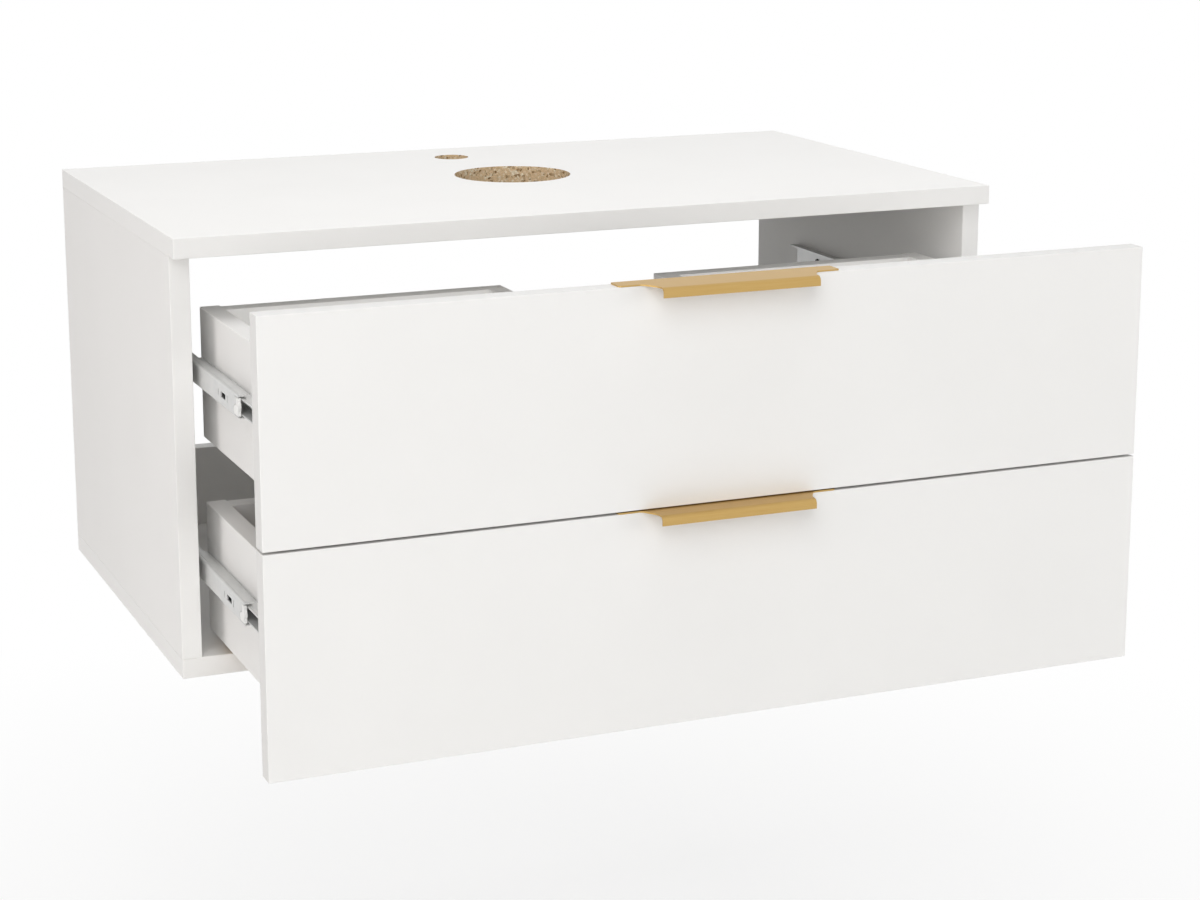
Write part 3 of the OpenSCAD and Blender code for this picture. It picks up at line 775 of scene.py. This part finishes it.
def add_floor(settings):
    """A wide pale floor that shows white and keeps the object's shadow."""
    level = cad_box[0].z - settings.floor_drop
    deselect()
    bpy.ops.mesh.primitive_plane_add(size=settings.floor_size, location=(0, 0, level))
    floor = bpy.context.object
    floor.name = "floor"
    material = bpy.data.materials.new("pale_studio_floor")
    tree = empty_tree(material)
    matt = add(tree, "ShaderNodeBsdfDiffuse", {"Color": rgba(settings.floor_colour)})
    white = add(tree, "ShaderNodeEmission", {"Strength": 1.0})
    # under the object a share of the floor is shaded, so that its shadow shows, and far away none
    place = add(tree, "ShaderNodeTexCoord").outputs["Object"]
    away = add(tree, "ShaderNodeVectorMath", {0: place, 1: settings.shadow_centre}, operation="DISTANCE")
    plain = add(tree, "ShaderNodeMapRange",
                {"Value": away.outputs["Value"], "From Min": settings.shadow_core * settings.shadow_reach,
                 "From Max": settings.shadow_reach, "To Min": settings.floor_white, "To Max": 1.0},
                interpolation_type="SMOOTHSTEP")
    share = add(tree, "ShaderNodeMath", {0: seen_directly(tree), 1: plain.outputs["Result"]},
                operation="MULTIPLY")
    both = add(tree, "ShaderNodeMixShader", {0: share.outputs[0], 1: matt.outputs[0], 2: white.outputs[0]})
    add(tree, "ShaderNodeOutputMaterial", {"Surface": both.outputs[0]})
    floor.data.materials.append(material)


def add_sky(settings):
    """An even light from all round, which looks white."""
    world = bpy.data.worlds.new("studio")
    tree = empty_tree(world)
    spread = add(tree, "ShaderNodeMapRange", {"Value": seen_directly(tree), "To Min": settings.sky,
                                              "To Max": 1.0})
    light = add(tree, "ShaderNodeBackground", {"Color": (1, 1, 1, 1), "Strength": spread.outputs["Result"]})
    add(tree, "ShaderNodeOutputWorld", {"Surface": light.outputs[0]})
    bpy.context.scene.world = world


# name, place, what it points at, width and height, power in watts, colour, and whether it is reflected
LAMPS = (
    ("key_softbox", (-1.2, -2.6, 2.2), (0, -0.4, 0), (2.0, 1.5), 29, "FFFFFF", False),
    ("low_key_softbox", (-1.4, -3.0, 0.8), (0, -0.4, 0), (2.4, 1.8), 26, "FFFFFF", True),
    ("front_right_softbox", (2.2, -2.6, 0.4), (0, -0.4, 0), (2.0, 1.5), 26, "FFFFFF", False),
    ("left_softbox", (-2.8, -0.8, 0.6), (0, -0.4, 0), (1.6, 1.6), 23, "FFFAF8", True),
    ("overhead_softbox", (0, -0.4, 2.4), (0, -0.4, 0), (2.4, 1.8), 38, "FFFFFF", False),
    ("rear_right_softbox", (2.4, 1.6, 1.2), (0, -0.3, 0), (2.0, 1.5), 22, "FFFFFF", False),
)


def add_lamp(name, place, target, size, power, tint, reflects):
    """A rectangular softbox that points at a target."""
    data = bpy.data.lights.new(name, "AREA")
    data.shape = "RECTANGLE"
    data.size, data.size_y = size
    data.energy = power
    data.color = linear(tint)
    lamp = add_object(name, data)
    lamp.location = place
    lamp.rotation_euler = (Vector(target) - Vector(place)).to_track_quat("-Z", "Y").to_euler()
    lamp.visible_glossy = reflects


# ---- Everything the frame already has the right shape for ----

class VANITY_OT_metalwork(bpy.types.Operator):
    """Finish the runners, their end stops, the screws and the dowels"""

    bl_idname = "vanity.metalwork"
    bl_label = "Runners and fixings"

    def execute(self, context):
        settings = context.scene.vanity_steel
        finishes = {"zinc_steel": zinc_plated(settings), "black_steel": black_phosphate(settings),
                    "grey_plastic": moulded_plastic(settings), "beech": turned_beech(settings)}
        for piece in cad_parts.values():
            slot = piece.data.materials[0].name
            if slot in finishes:
                piece.data.materials[0] = finishes[slot]
        return {"FINISHED"}


class VANITY_PT_panel(bpy.types.Panel):
    """Sizes, colours and steps of the vanity"""

    bl_idname = "VANITY_PT_panel"
    bl_label = "Vanity"
    bl_space_type = "VIEW_3D"
    bl_region_type = "UI"
    bl_category = "Vanity"

    def draw(self, context):
        for name in GROUPS:
            box = self.layout.box()
            group = getattr(context.scene, name)
            for key in group.__annotations__:
                box.prop(group, key)
        for operator in OPERATORS:
            self.layout.operator(operator.bl_idname)


GROUPS = {"vanity_boards": BoardSettings, "vanity_handles": HandleSettings, "vanity_steel": SteelSettings,
          "vanity_stage": StageSettings}
OPERATORS = (VANITY_OT_stage, VANITY_OT_carcass, VANITY_OT_fronts, VANITY_OT_boxes, VANITY_OT_bottoms,
             VANITY_OT_handles, VANITY_OT_metalwork)


def register():
    """Registers the settings, the operators and the panel."""
    for name, group in GROUPS.items():
        bpy.utils.register_class(group)
        setattr(bpy.types.Scene, name, PointerProperty(type=group))
    for made in (*OPERATORS, VANITY_PT_panel):
        bpy.utils.register_class(made)


def unregister():
    """Takes them out again."""
    for made in reversed((*OPERATORS, VANITY_PT_panel)):
        bpy.utils.unregister_class(made)
    for name, group in reversed(GROUPS.items()):
        delattr(bpy.types.Scene, name)
        bpy.utils.unregister_class(group)


def main():
    """Makes everything in order."""
    register()
    bpy.ops.vanity.stage()
    bpy.ops.vanity.carcass()
    bpy.ops.vanity.fronts()
    bpy.ops.vanity.boxes()
    bpy.ops.vanity.bottoms()
    bpy.ops.vanity.handles()
    bpy.ops.vanity.metalwork()


if __name__ == "__main__":
    main()
